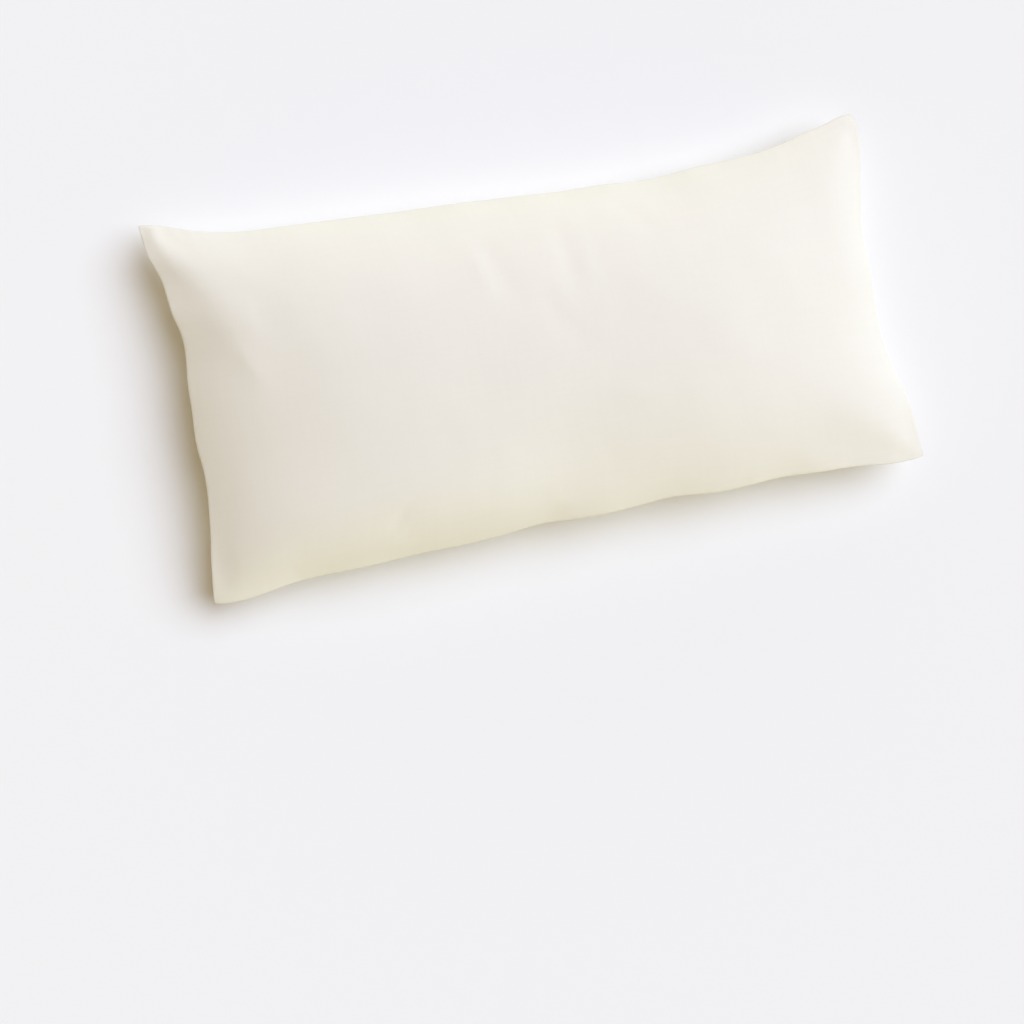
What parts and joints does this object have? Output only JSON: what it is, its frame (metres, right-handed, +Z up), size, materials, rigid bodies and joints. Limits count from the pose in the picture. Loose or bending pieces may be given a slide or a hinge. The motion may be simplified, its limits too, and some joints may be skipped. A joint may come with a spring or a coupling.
{
  "type": "filled pillowcase",
  "caption": "Small oblong bed pillow in a plain cream cotton case, crowned with drawn-in sides, lying on its back",
  "frame": {"origin": "on the surface the pillowcase rests on, under the middle of its outline", "axes": "+X along its long side, +Y towards its top side, +Z up through the crown"},
  "size_m": [0.7936, 0.391, 0.132],
  "materials": {
    "cream_cotton": "smooth matt cotton, cream"
  },
  "bodies": {
    "root": {"pillowcase": "cream_cotton"}
  },
  "joints": []
}
